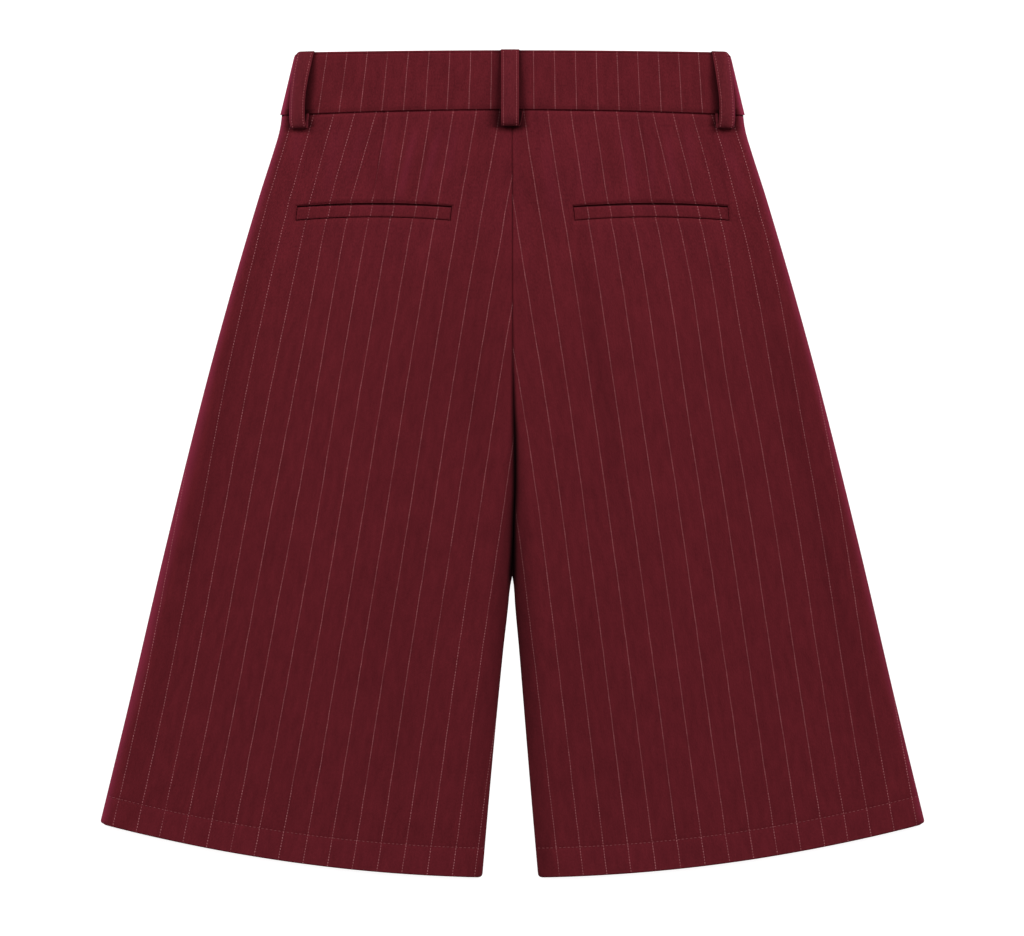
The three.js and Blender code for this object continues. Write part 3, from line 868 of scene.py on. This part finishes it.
class ClothSettings(bpy.types.PropertyGroup):
    colour: colour("Cloth", "Colour of the suiting", (0.093, 0.0094, 0.0138))
    loop_colour: colour("Loops", "Colour of the plain cloth of the belt loops", (0.0985, 0.0115, 0.0166))
    stripe_colour: colour("Stripe", "Colour of the pinstripe", (0.43, 0.158, 0.171))
    thread_colour: colour("Thread", "Colour of the stitching", (0.42, 0.10, 0.115))
    hem_thread_colour: colour("Hem thread", "Colour of the stitching of the hems", (0.24, 0.050, 0.060))
    stripe_width: length("Stripe width", "Width of one pinstripe", 0.0005)
    bead: length("Bead", "Length of one bead of the pinstripe with its gap", 0.00215, 0.0005)
    twill: length("Twill", "Spacing of the diagonal rib", 0.0011, 0.0002)
    sheen: bpy.props.FloatProperty(
        name="Sheen",
        description="Strength of the soft light at the cloth's edges",
        default=0.1,
        min=0,
        max=1,
        subtype="FACTOR",
    )


class StitchSettings(bpy.types.PropertyGroup):
    hem_pitch: length("Hem pitch", "From one stitch of the hem to the next", 0.0033, 0.001)
    edge_pitch: length("Edge pitch", "From one stitch of the belt loops to the next", 0.0022, 0.001)
    thickness: length("Thread", "Thickness of the thread", 0.00042, 0.0001)


def materials(context):
    """The shorts' materials, made at their first use."""
    cloth = context.scene.shorts_cloth
    if "Striped suiting" not in bpy.data.materials:
        suiting(cloth, "Striped suiting", cloth.colour)
        suiting(cloth, "Plain suiting", cloth.loop_colour, stripes=False)
        thread("Thread", cloth.thread_colour)
        thread("Hem thread", cloth.hem_thread_colour)
    return bpy.data.materials


class SHORTS_OT_back_panels(bpy.types.Operator):
    """Adds the back leg panels with their darts, pocket openings and turned hems"""

    bl_idname = "shorts.back_panels"
    bl_label = "Back Panels"

    def execute(self, context):
        rows = back_rows()
        columns = BACK_COLUMNS
        for side, word in SIDES.items():
            piece, mesh = sheet_grid(
                f"back_panel_{word}",
                len(columns) - 1,
                len(rows) - 1,
                lambda c, r: back_face(side, rows[r], columns[c], True),
                lambda c, r, x, down: panel_weave(side, x, down, BACK_SHIFT),
                lambda c, r, x, down: back_shade(side, x, down),
            )
            self.cut_opening(mesh)
            keep_mesh(piece, mesh, upward=True)
            thicken(
                piece,
                CLOTH,
                lambda c, r: back_face(side, rows[r], columns[c], False),
                # Painted shade on the inner face, near black along the crease.
                lambda c, r: 0.05 if columns[c].zone == "inner roll" else 0.3,
            )
            smooth(piece)
            finish_piece(piece, materials(context)["Striped suiting"], f"back_{word}")
        return {"FINISHED"}

    @staticmethod
    def cut_opening(mesh):
        """Takes out the faces inside the pocket opening."""
        inside = []
        for face in mesh.faces:
            middle = face.calc_center_median() / MM
            out, down = abs(middle.x), MIDDLE - middle.y
            within = abs(out - WELT_X - WELT_LEAN * (down - WELT_DOWN)) < WELT_WIDTH / 2 + SEAM_GAP
            if within and 0 < down - welt_top(middle.x) < WELT_HEIGHT + SEAM_GAP:
                inside.append(face)
        bmesh.ops.delete(mesh, geom=inside, context="FACES")


class SHORTS_OT_front_panels(bpy.types.Operator):
    """Adds the front leg panels, which lie on the table"""

    bl_idname = "shorts.front_panels"
    bl_label = "Front Panels"

    def execute(self, context):
        rows = front_rows()
        columns = FRONT_COLUMNS
        for side, word in SIDES.items():
            piece, mesh = sheet_grid(
                f"front_panel_{word}",
                len(columns) - 1,
                len(rows) - 1,
                lambda c, r: front_face(side, rows[r], columns[c], True),
                lambda c, r, x, down: panel_weave(side, x, down, FRONT_SHIFT),
                # Painted shade: the front's face near black at the inner roll above the crotch.
                lambda c, r, x, down: 0.02 if columns[c].zone == "inner roll" and down < 413 else 1,
            )
            keep_mesh(piece, mesh, upward=False)
            thicken(
                piece,
                CLOTH,
                lambda c, r: front_face(side, rows[r], columns[c], False),
                # Painted shade on the inner face, near black at the inner roll.
                lambda c, r: 0.02 if columns[c].zone == "inner roll" else 0.3,
            )
            smooth(piece)
            finish_piece(piece, materials(context)["Striped suiting"], f"front_{word}")
        return {"FINISHED"}


def mouth(a):
    """How far the pocket stands open, at a place along the welt."""
    return 1.2 + (MOUTH - 1.2) * (1 - (2 * a / WELT_WIDTH) ** 2)


class SHORTS_OT_pockets(bpy.types.Operator):
    """Adds the welts of the back pockets"""

    bl_idname = "shorts.pockets"
    bl_label = "Back Pockets"

    def execute(self, context):
        ends = [0, 0.15, 0.4, 0.8, 1.4]
        half = WELT_WIDTH / 2
        across = [e - half for e in ends] + [lerp(1.4 - half, half - 1.4, i / 36) for i in range(1, 36)]
        across += [half - e for e in reversed(ends)]
        fold = WELT_HEIGHT - MOUTH
        face = ends + [lerp(1.4, fold - 1.4, i / 6) for i in range(1, 6)]
        face += [fold - e for e in reversed(ends)]
        facing = [(-5, 2.3), (-0.5, 2.3), (-0.2, 1.9), (-0.05, 1.4)]
        rows = facing + [(below, 0) for below in face]

        def edge_drop(distance):
            share = min(1, max(0, distance) / 1.4)
            return 0.85 * (1 - math.sqrt(1 - (1 - share) ** 2))

        def position(side, column, row):
            a = across[column]
            below, sink = rows[row]
            b = mouth(a) + (below * (WELT_HEIGHT - mouth(a)) / fold if below > 0 else below)
            down = WELT_DOWN - WELT_ARCH * (1 - (a / half) ** 2) + b
            x = side * (WELT_X + a + WELT_LEAN * b)
            drop = max(edge_drop(half - abs(a)), edge_drop(b - mouth(a)), edge_drop(WELT_HEIGHT - b))
            return x, down, back_top(x, down) + 0.3 - max(drop, sink)

        def shade(column, row):
            # Painted light and shade: dark facing inside the mouth, paler in the welt's middle, darker to
            # its ends and lower edge.
            below, sink = rows[row]
            if sink:
                return 0.25
            along = lerp(1.04, 0.93, (across[column] / half) ** 2)
            along *= lerp(1.02, 0.96, below / fold)
            return along * lerp(0.95, 1, smoothstep(fold - below, 0, 1.6))

        def pattern(side, x, down):
            across_weave, along_weave = panel_weave(side, x, down, BACK_SHIFT)
            return across_weave - 1.2 * side, along_weave + 3.7

        for side, word in SIDES.items():
            piece, mesh = sheet_grid(
                f"welt_strip_{word}",
                len(across) - 1,
                len(rows) - 1,
                lambda c, r: position(side, c, r),
                lambda c, r, x, down: pattern(side, x, down),
                lambda c, r, x, down: shade(c, r),
            )
            keep_mesh(piece, mesh, upward=True)
            thicken(piece, 0.9)
            smooth(piece)
            finish_piece(piece, materials(context)["Striped suiting"], f"welt_{word}")
        return {"FINISHED"}


def band_edge(down, x):
    below = max(0, down - waist_edge(x))
    if below >= BAND_CORNER:
        return band_half(down)
    return band_half(down) - BAND_CORNER + math.sqrt(BAND_CORNER**2 - (BAND_CORNER - below) ** 2)


def band_down(x, below):
    return lerp(waist_edge(x), waist_seam(x), below / BAND_HEIGHT)


def band_ring(foot, top, top_turn=1.1, seam_turn=0.8):
    """The waistband's section, as places below the waist edge and heights: facing, fold, face and seam."""
    mid = (foot + top) / 2
    ring = [(lerp(BAND_HEIGHT - seam_turn, top_turn, i / 10), foot) for i in range(11)]
    for step in range(1, 8):
        angle = math.pi * step / 8
        ring.append((top_turn * (1 - math.sin(angle)), mid - (mid - foot) * math.cos(angle)))
    stitched = ((1.1, 0), (1.5, 0.2), (1.9, 0.42), (2.3, 0.2), (2.8, 0))
    ring += [(below, top - dip) for below, dip in stitched]
    ring += [(lerp(3.6, BAND_HEIGHT - 4.6, i / 16), top) for i in range(17)]
    sunk = ((3.6, 0.03), (2.7, 0.12), (1.9, 0.28), (1.3, 0.46))
    ring += [(BAND_HEIGHT - up, top - dip) for up, dip in sunk]
    for step in range(0, 8):
        angle = math.pi * step / 8
        rise = top - 0.6 - mid if step < 4 else mid - foot
        ring.append((BAND_HEIGHT - seam_turn * (1 - math.sin(angle)), mid + rise * math.cos(angle)))
    return ring


class SHORTS_OT_waistband(bpy.types.Operator):
    """Adds the waistband: the back in one piece, and the front in two halves that meet over the fly"""

    bl_idname = "shorts.waistband"
    bl_label = "Waistband"

    def execute(self, context):
        self.back(context)
        for side, word in SIDES.items():
            self.front_half(context, side, word)
        return {"FINISHED"}

    def band(self, context, name, node, ring, stations, x_of, z_of, pattern, flat, depth_of=None):
        """A closed band: the ring's points at each station, with the ends drawn shut."""

        def position(column, row):
            below, height = ring[row % len(ring)]
            down = settle(lambda x: band_down(x, below), 0, lambda d: x_of(stations[column], d))
            x = x_of(stations[column], down)
            return x, down, z_of(stations[column], x, down, height)

        piece, mesh = sheet_grid(name, len(stations) - 1, len(ring), position, pattern, depth_of)
        bmesh.ops.remove_doubles(mesh, verts=mesh.verts[:], dist=1e-6)
        rims = [edge for edge in mesh.edges if edge.is_boundary]
        bmesh.ops.holes_fill(mesh, edges=rims)
        bmesh.ops.recalc_face_normals(mesh, faces=mesh.faces[:])
        mesh.to_mesh(piece.data)
        mesh.free()
        smooth(piece)
        finish_piece(piece, materials(context)["Striped suiting"], node)
        return piece

    def back(self, context):
        angles = [math.radians(a) for a in (84, 70, 56, 42, 28, 14)]
        half_way = [lerp(0, 0.11, i / 20) for i in range(21)]
        half_way += [lerp(0.11, 0.84, i / 36) for i in range(1, 37)]
        half_way += [lerp(0.84, 1, i / 28) for i in range(1, 29)]
        stations = [("turn", -a) for a in angles] + [("flat", -share) for share in reversed(half_way)]
        stations += [("flat", share) for share in half_way[1:]] + [("turn", a) for a in reversed(angles)]
        roll = 8.0

        def x_of(station, down):
            half = band_edge(down, WAIST_HALF)
            kind, value = station
            if kind == "flat":
                return (half - roll) * value
            return math.copysign(half - roll * (1 - math.sin(abs(value))), value)

        def z_of(station, x, down, height):
            kind, value = station
            lowered = height + 0.35 * ripples(x, down + 40)
            if kind == "flat":
                return lowered
            return BAND_FOOT + (lowered - BAND_FOOT) * math.cos(value)

        def pattern(column, row, x, down):
            fanning = 0.0176 if x < 0 else 0.008
            number = x / (BAND_PITCH + fanning * (down - 7.4)) * (1 + 0.014 * abs(x / 146) ** 3)
            return number * STRIPE_PITCH, down + 0.4 * row

        # Painted shadow beside the belt loops and painted highlight on the band's sides.
        def depth_of(column, row, x, down):
            return beside_loops(x, down) + edge_light(band_half(down) - abs(x), 1.6)

        ring = band_ring(BAND_FOOT, BAND_TOP)
        flat = (0.36, 0.047)
        name = "waistband_back_piece"
        self.band(context, name, "waistband_back", ring, stations, x_of, z_of, pattern, flat, depth_of)

    def front_half(self, context, side, word):
        stations = [0] + [lerp(0.004, 0.985, i / 50) for i in range(51)] + [0.992, 0.997, 1]
        top = FRONT_LIFT + 1.6

        def x_of(share, down):
            return side * lerp(SEAM_GAP / 2, band_edge(down, WAIST_HALF), share) - 0.3 * (1 - share)

        def z_of(share, x, down, height):
            near = smoothstep(share, 0.985, 1.0)
            return top + (height - top) * (1 - 0.55 * near)

        def pattern(column, row, x, down):
            return (x / BAND_PITCH + 40) * STRIPE_PITCH, down

        ring = band_ring(FRONT_LIFT, top)
        node, flat = f"waistband_front_{word}", (0.18, 0.047)
        self.band(context, f"{node}_piece", node, ring, stations, x_of, z_of, pattern, flat)


LOOP_CLOTH = 0.95
TAIL_ROW = 46  # from this row of its path on, a loop is its tail


def loop_path():
    """A back loop's outer face along it: places below the waist edge, and heights off the band's face."""
    end = LOOP_LENGTH - LOOP_RAISE
    path = [(0.2, 0.34), (-0.35, 0.42), (-LOOP_RAISE, 0.85), (-0.3, 1.2), (0.5, 1.36)]
    for i in range(1, 40):
        share = i / 40
        slack = 3.3 * math.sin(math.pi / 2 * min(1, share / 0.75)) + 0.1 * math.sin(share * 9)
        path.append((lerp(0.5, end - 4.2, share), 1.36 + slack))
    top, foot, reach = path[-1][1], -0.92, 3.6
    for i in range(9):
        angle = math.radians(90 - 180 * i / 8)
        height = lerp(foot, top, 0.5 + 0.5 * math.sin(angle))
        path.append((end - reach + reach * math.cos(angle), height))
    return path + [(end - back, foot) for back in (4.6, 6, 8, 10, 11.5)]


def loop_point(loop, below, height, offset):
    """Where a place on a back loop lies. Side loops tilt outwards, and tails show beside their straps."""
    under = 1 - smoothstep(height, -0.6, 2.6) if below > BAND_HEIGHT else 0
    inward = -loop or 1
    shown = inward * under * lerp(3.0, 1.4, smoothstep(below, 48, LOOP_LENGTH))
    middle = loop_middle(loop, below) + shown
    reach = band_half(max(0, below)) - 8
    over = min(1, max(0, abs(middle) - reach) / 8)
    face = BAND_FOOT + (BAND_TOP - BAND_FOOT) * math.sqrt(1 - over * over)
    leaning = math.radians(lerp(8, 15, math.sin(math.pi * max(0, below) / LOOP_LENGTH)))
    tilt = leaning * abs(loop) * (1 - under)
    narrow = lerp(1, 0.9, smoothstep(below, 5, 38) * abs(loop))
    x = middle + offset * narrow * math.cos(tilt)
    corner = min(0.97, max(0, abs(x) - WAIST_HALF + 11 + BAND_CORNER) / BAND_CORNER)
    rounded = BAND_CORNER * (1 - math.sqrt(1 - corner * corner)) * (1 - smoothstep(below, 0, 9))
    return x, below + waist_edge(x) + rounded, face + height - loop * offset * math.sin(tilt)


class SHORTS_OT_belt_loops(bpy.types.Operator):
    """Adds the belt loops, edge-stitched straps with their lower end turned under"""

    bl_idname = "shorts.belt_loops"
    bl_label = "Belt Loops"

    def execute(self, context):
        for loop, word in LOOPS.items():
            self.strap(context, loop, word)
        for side, word in SIDES.items():
            self.front_strap(context, side, word)
        return {"FINISHED"}

    @staticmethod
    def profile():
        """Across the strap: place, and how far the face is down from its middle."""
        half = LOOP_WIDTH / 2
        seam = half - 1.9
        places = [half, half - 0.2, half - 0.6, half - 1.2, seam, seam - 0.7, seam - 1.6, 2.6, 1.3]
        drops = [0.42, 0.2, 0.07, 0.05, 0.2, 0.05, 0.0, 0.0, 0.0]
        sides = list(zip(places, drops))
        return [(-p, d) for p, d in sides] + [(0, 0)] + [(p, d) for p, d in reversed(sides)]

    def strap(self, context, loop, word):
        path = loop_path()
        profile = self.profile()

        def position(column, row):
            below, height = path[row]
            offset, drop = profile[column]
            off = drop if height < 1.5 and row > 12 else -drop
            return loop_point(loop, below, height + off, offset)

        def shade(column, row, x, down):
            # Painted shade near the lower end; on side loops, painted shade on the inner edge and highlight
            # on the outer.
            lower = lerp(1, 0.9 if loop else 0.74, smoothstep(down, 49, 56))
            outward = (profile[column][0] * loop + LOOP_WIDTH / 2) / LOOP_WIDTH
            return (0.9 + 0.4 * outward**3 if loop else 1) * lower

        def tail_shade(column, row):
            # Painted shade: the strap's inner face darkened, and on the tail a dark gap beside the strap
            # and a paler rim.
            if row < TAIL_ROW:
                return 0.5
            rim = smoothstep(-profile[column][0] * loop, 4.2, 5.6)
            return lerp(0.1, 1.1, rim)

        piece, mesh = sheet_grid(
            f"belt_loop_{word}",
            len(profile) - 1,
            len(path) - 1,
            position,
            lambda c, r, x, down: (profile[c][0], 60 - 1.2 * r + 90 * loop),
            shade,
        )
        keep_mesh(piece, mesh, upward=True)
        thicken(piece, LOOP_CLOTH, inner_depth=tail_shade)
        smooth(piece)
        finish_piece(piece, materials(context)["Plain suiting"], f"belt_loop_back_{word}")

    def front_strap(self, context, side, word):
        profile = self.profile()
        x = side * FRONT_LOOP_X
        start = waist_edge(x)
        end = start + LOOP_LENGTH - LOOP_RAISE
        path = [(start + 0.6, 0.9), (start + 0.1, 0.6), (start + 0.05, 0.3), (start + 0.5, 0.05)]
        path += [(lerp(start + 1, end - 1, i / 24), 0.0) for i in range(25)]
        path += [(end - 0.4, 0.08), (end - 0.05, 0.4), (end - 0.1, 0.75), (end - 0.6, 1.0)]

        def position(column, row):
            down, height = path[row]
            offset, drop = profile[column]
            return x + offset, down, height + 0.5 * drop

        piece, mesh = sheet_grid(
            f"belt_loop_front_{word}_strap",
            len(profile) - 1,
            len(path) - 1,
            position,
            lambda c, r, px, down: (profile[c][0], down),
        )
        keep_mesh(piece, mesh, upward=False)
        thicken(piece, 1.2)
        smooth(piece)
        finish_piece(piece, materials(context)["Plain suiting"], f"belt_loop_front_{word}")


def stitch_shape(length, thickness):
    """One stitch: a plump little dash along X, lying on the cloth."""
    add = bpy.ops.mesh.primitive_uv_sphere_add
    piece = new_primitive(add, "stitch", segments=6, ring_count=5, radius=0.5)
    mesh = bmesh.new()
    mesh.from_mesh(piece.data)
    for vert in mesh.verts:
        z, x = vert.co.z, vert.co.x
        vert.co = Vector((z * length, vert.co.y * thickness, x * thickness))
    bmesh.ops.recalc_face_normals(mesh, faces=mesh.faces[:])
    mesh.to_mesh(piece.data)
    mesh.free()
    return piece


def sew(name, material, paths, pitch, share, thickness):
    """Rows of stitches along paths of points and upward directions, as one piece."""
    pattern = stitch_shape(pitch * share, thickness)
    mesh = bmesh.new()
    for path in paths:
        travelled, due = 0.0, pitch / 2
        for (start, up), (end, _) in zip(path, path[1:]):
            span = (end - start).length
            while span and due <= travelled + span:
                centre = start.lerp(end, (due - travelled) / span)
                along = (end - start).normalized()
                side = up.cross(along).normalized()
                lift = along.cross(side)
                known = len(mesh.verts)
                mesh.from_mesh(pattern.data)
                mesh.verts.ensure_lookup_table()
                for vert in mesh.verts[known:]:
                    p = vert.co.copy()
                    vert.co = centre + along * p.x + side * p.y + lift * p.z
                due += pitch
            travelled += span
    mesh.to_mesh(pattern.data)
    mesh.free()
    pattern.name = name
    pattern.data.name = name
    smooth(pattern, 80)
    return finish_piece(pattern, material)


class SHORTS_OT_stitching(bpy.types.Operator):
    """Adds the stitches of the hems, the belt loops and the fly"""

    bl_idname = "shorts.stitching"
    bl_label = "Stitching"

    def execute(self, context):
        settings = context.scene.shorts_stitches
        size = settings.thickness
        hem_thread = materials(context)["Hem thread"]
        edge_thread = materials(context)["Thread"]
        for name, back in (("hem_stitches_back", True), ("hem_stitches_front", False)):
            hems = [self.hem(side, back) for side in SIDES]
            sew(name, hem_thread, hems, settings.hem_pitch, 0.62, size)
        rows = []
        for loop in LOOPS:
            rows += [self.loop_row(loop, edge) for edge in (-1, 1)]
        sew("loop_stitches", edge_thread, rows, settings.edge_pitch, 0.45, size * 1.2)
        sew("fly_stitches", edge_thread, [self.fly()], settings.hem_pitch, 0.7, size)
        return {"FINISHED"}

    @staticmethod
    def hem(side, back):
        row = body_row(lambda x: hem_line(x) - HEM_DEPTH, 0.28 if back else 0)
        columns = BACK_COLUMNS if back else FRONT_COLUMNS
        face = back_face if back else front_face
        path = []
        for column in columns[2:-2]:
            x, down, z = face(side, row, column, True)
            lift = 0.12 if back else -0.05
            path.append((place(x, down, z + lift), Vector((0, 0, 1))))
        return path

    @staticmethod
    def loop_row(loop, edge):
        offset = edge * (LOOP_WIDTH / 2 - 1.9)
        row = []
        for below, height in loop_path()[4:-10]:
            spot = place(*loop_point(loop, below, height - 0.05, offset))
            above = place(*loop_point(loop, below, height + 1, offset))
            row.append((spot, (above - spot).normalized()))
        return row

    @staticmethod
    def fly():
        """The curved row that holds the fly's facing, on the left front."""
        path = []
        for i in range(60):
            share = i / 59
            down = lerp(waist_seam(0) + 4, 205, share)
            out = 38 * math.sqrt(max(0, 1 - max(0, (share - 0.72) / 0.28) ** 2))
            x = -0.6 - max(out, 0.5)
            z = front_lift(down) - 0.05
            path.append((place(x, down, z), Vector((0, 0, -1))))
        return path


class SHORTS_OT_stage(bpy.types.Operator):
    """Adds the table, the lights and the camera above the shorts"""

    bl_idname = "shorts.stage"
    bl_label = "Stage"

    def execute(self, context):
        self.table()
        self.lights(context)
        self.camera(context)
        return {"FINISHED"}

    @staticmethod
    def table():
        add = bpy.ops.mesh.primitive_plane_add
        table = new_primitive(add, "table", size=14, location=(0, 0, -0.0004))
        shader = Shader("Table")
        spot = shader.node("ShaderNodeTexCoord", None, (), output="Object")
        paper = shader.grain(spot, 6.0, 2.0)
        colour = shader.mix(paper, (0.42, 0.42, 0.42, 1), (0.48, 0.48, 0.48, 1))
        table.data.materials.append(shader.surface({
            "Base Color": colour,
            "Roughness": 0.9,
            "Emission Color": (1, 1, 1, 1),
            "Emission Strength": 0.85,
        }))

    @staticmethod
    def lights(context):
        # Name, place, size of the square and power in watts
        lamps = [
            ("softbox_left", (-2.2, 2.1, 2.05), 1.3, 81),
            ("softbox_right", (2.2, 2.1, 2.05), 1.3, 81),
            ("overhead", (0.0, 0.3, 3.2), 4.5, 20),
        ]
        for name, spot, size, power in lamps:
            data = bpy.data.lights.new(name, "AREA")
            data.shape = "SQUARE"
            data.size = size
            data.energy = power
            lamp = bpy.data.objects.new(name, data)
            lamp.location = spot
            lamp.rotation_euler = Vector(spot).to_track_quat("Z", "Y").to_euler()
            context.collection.objects.link(lamp)
        world = bpy.data.worlds.new("Studio")
        world.use_nodes = True
        background = world.node_tree.nodes["Background"]
        background.inputs["Color"].default_value = (1, 1, 1, 1)
        background.inputs["Strength"].default_value = 0.3
        context.scene.world = world
        context.scene.view_settings.view_transform = "Standard"

    @staticmethod
    def camera(context):
        wide = PICTURE_WIDTH * PIXEL * MM
        height = 5.0
        data = bpy.data.cameras.new("camera")
        data.sensor_width = 36
        data.lens = 36 * height / wide
        data.clip_end = 50
        camera = bpy.data.objects.new("camera", data)
        camera.location = (-0.0004, -0.0034, height)
        context.collection.objects.link(camera)
        context.scene.camera = camera


class SHORTS_PT_panel(bpy.types.Panel):
    """Lists the shorts' pieces and settings"""

    bl_label = "Bermuda Shorts"
    bl_idname = "SHORTS_PT_panel"
    bl_space_type = "VIEW_3D"
    bl_region_type = "UI"
    bl_category = "Shorts"

    def draw(self, context):
        for group in (context.scene.shorts_cloth, context.scene.shorts_stitches):
            box = self.layout.box()
            for key in group.__annotations__:
                box.prop(group, key)
        for operator in OPERATORS:
            self.layout.operator(operator.bl_idname)


OPERATORS = (
    SHORTS_OT_front_panels,
    SHORTS_OT_back_panels,
    SHORTS_OT_pockets,
    SHORTS_OT_waistband,
    SHORTS_OT_belt_loops,
    SHORTS_OT_stitching,
    SHORTS_OT_stage,
)
CLASSES = (ClothSettings, StitchSettings, *OPERATORS, SHORTS_PT_panel)


def register():
    for kind in CLASSES:
        bpy.utils.register_class(kind)
    bpy.types.Scene.shorts_cloth = bpy.props.PointerProperty(type=ClothSettings)
    bpy.types.Scene.shorts_stitches = bpy.props.PointerProperty(type=StitchSettings)


def unregister():
    del bpy.types.Scene.shorts_stitches
    del bpy.types.Scene.shorts_cloth
    for kind in reversed(CLASSES):
        bpy.utils.unregister_class(kind)


def main():
    register()
    for operator in OPERATORS:
        group, action = operator.bl_idname.split(".")
        getattr(getattr(bpy.ops, group), action)()


if __name__ == "__main__":
    main()
